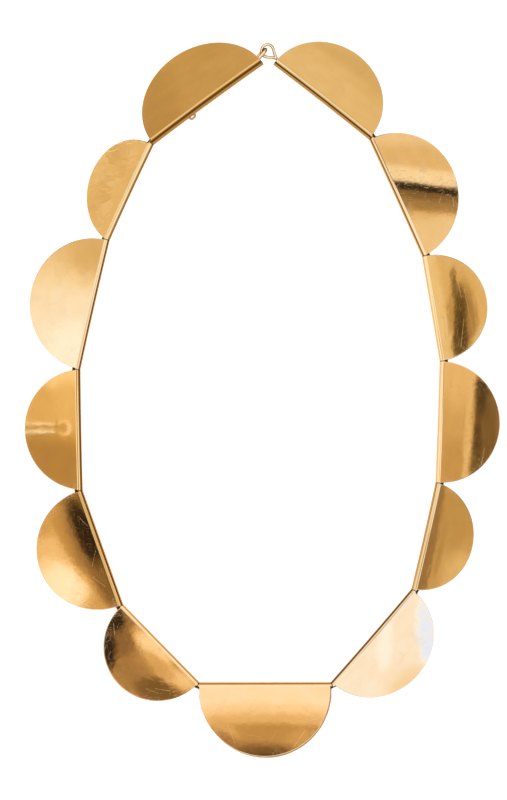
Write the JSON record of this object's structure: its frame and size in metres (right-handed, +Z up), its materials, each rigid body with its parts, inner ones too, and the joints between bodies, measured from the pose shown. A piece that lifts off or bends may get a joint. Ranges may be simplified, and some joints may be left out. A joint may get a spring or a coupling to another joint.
{
  "type": "necklace of folded half-moon plates",
  "caption": "Polished gold collar of folded half-moon plates joined at their corners by small flat links, with a hook and drop-shaped ring, lying flat.",
  "frame": {"origin": "on the table, under the middle of the necklace's box", "axes": "+Z up from the table, +Y along the necklace's length towards the clasp, +X to the right as it is seen from above"},
  "size_m": [0.125, 0.1878, 0.0125],
  "materials": {
    "plate_gold": "polished gold sheet with fine wear scratches",
    "wire_gold": "polished gold wire"
  },
  "bodies": {
    "root": {"plate_01": "plate_gold", "plate_02": "plate_gold", "plate_03": "plate_gold", "plate_04": "plate_gold", "plate_05": "plate_gold", "plate_06": "plate_gold", "plate_07": "plate_gold", "plate_08": "plate_gold", "plate_09": "plate_gold", "plate_10": "plate_gold", "plate_11": "plate_gold", "plate_12": "plate_gold", "plate_13": "plate_gold", "link_01": "wire_gold", "link_02": "wire_gold", "link_03": "wire_gold", "link_04": "wire_gold", "link_05": "wire_gold", "link_06": "wire_gold", "link_07": "wire_gold", "link_08": "wire_gold", "link_09": "wire_gold", "link_10": "wire_gold", "link_11": "wire_gold", "link_12": "wire_gold", "clasp_hook": "wire_gold", "clasp_ring": "wire_gold"}
  },
  "joints": []
}
